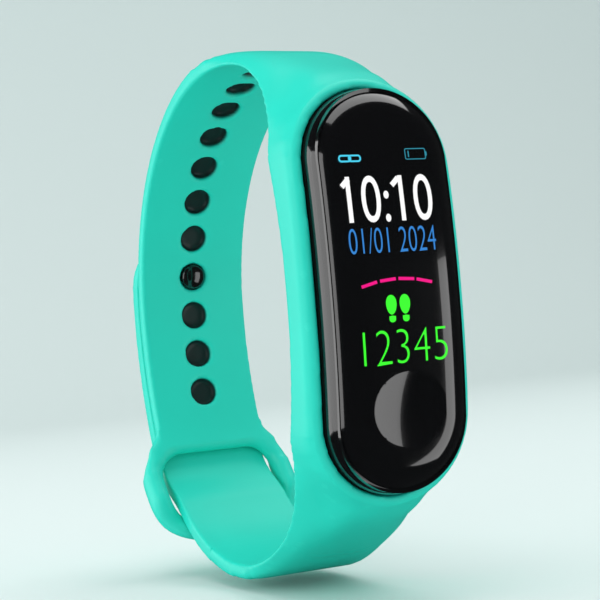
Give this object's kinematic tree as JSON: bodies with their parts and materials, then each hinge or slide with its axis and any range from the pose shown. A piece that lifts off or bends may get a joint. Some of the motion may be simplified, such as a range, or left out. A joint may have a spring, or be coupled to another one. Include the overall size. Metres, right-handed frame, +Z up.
{
  "type": "fitness tracker band",
  "caption": "Slim fitness tracker: pop-out display capsule in a one-piece soft strap with a loop and a stud clasp, closed as worn.",
  "frame": {"origin": "centre of the wrist opening, at the height of the capsule's middle", "axes": "+Z up along the capsule, from the touch key towards the top of the display; -Y out of the display; +X along the wrist, to the right as the display is read"},
  "size_m": [0.0228, 0.0646, 0.0672],
  "materials": {
    "strap_silicone": "soft matt turquoise silicone",
    "stud_black": "gloss black",
    "stud_metal": "pressed and brushed",
    "shell_black": "fine matt black",
    "frame_black": "satin black",
    "gasket_black": "matt",
    "cover_gloss": "high gloss, curved over its edges",
    "display": "lit colour display",
    "backlight": "white diffuser in a pressed tray",
    "flex": "amber polyimide",
    "connector": "ivory moulding",
    "copper": "etched copper",
    "gold": "gold plate",
    "board": "green solder mask",
    "chip": "moulded black epoxy",
    "can": "drawn steel",
    "ceramic": "fired ceramic",
    "pouch": "pouch foil with heat-sealed edges",
    "nickel": "nickel strip",
    "nylon": "moulded nylon",
    "winding": "enamelled copper",
    "tungsten": "sintered tungsten",
    "cradle": "matt",
    "window": "smoked optical window",
    "emitter": "clear lens over a green die",
    "diode": "dark silicon under clear resin"
  },
  "bodies": {
    "strap": {"strap": "strap_silicone"},
    "tail": {"tail_tip": "strap_silicone", "stud_cap": "stud_black", "stud_plate": "stud_metal", "stud_head": "stud_black"},
    "capsule": {"rear_shell": "shell_black", "seal_gasket": "gasket_black", "mid_frame": "frame_black", "front_cover": "cover_gloss", "display_glass": "display", "display_backlight": "backlight", "display_connector": "connector", "display_flex": "flex", "touch_pad": "copper", "touch_spring": "gold", "main_pcb": "board", "processor": "chip", "flash_memory": "chip", "motion_sensor": "chip", "crystal": "can", "charge_chip": "chip", "antenna": "ceramic", "passives": "ceramic", "battery": "pouch", "battery_board": "board", "battery_tabs": "nickel", "motor_can": "can", "motor_endcap": "nylon", "motor_cradle": "cradle", "hr_window": "window", "hr_barrier": "shell_black", "hr_board": "board", "hr_led_left": "emitter", "hr_led_right": "emitter", "hr_photodiode": "diode", "contact_left": "gold", "contact_right": "gold"},
    "rotor": {"motor_rotor": "winding", "motor_shaft": "can", "motor_weight": "tungsten"}
  },
  "joints": [
    {"name": "capsule_pop_out", "type": "slide", "parent": "strap", "child": "capsule", "axis": [0, -1, 0], "range_m": [0, 0.016]},
    {"name": "tail_peel", "type": "hinge", "parent": "strap", "child": "tail", "pos_m": [0, 0.02844, -0.00799], "axis": [-1, 0, 0], "range_deg": [0, 75], "stiffness_Nm_per_rad": 0.004},
    {"name": "motor_spin", "type": "hinge", "parent": "capsule", "child": "rotor", "pos_m": [0, -0.02535, -0.0163], "axis": [1, 0, 0], "continuous": true}
  ]
}
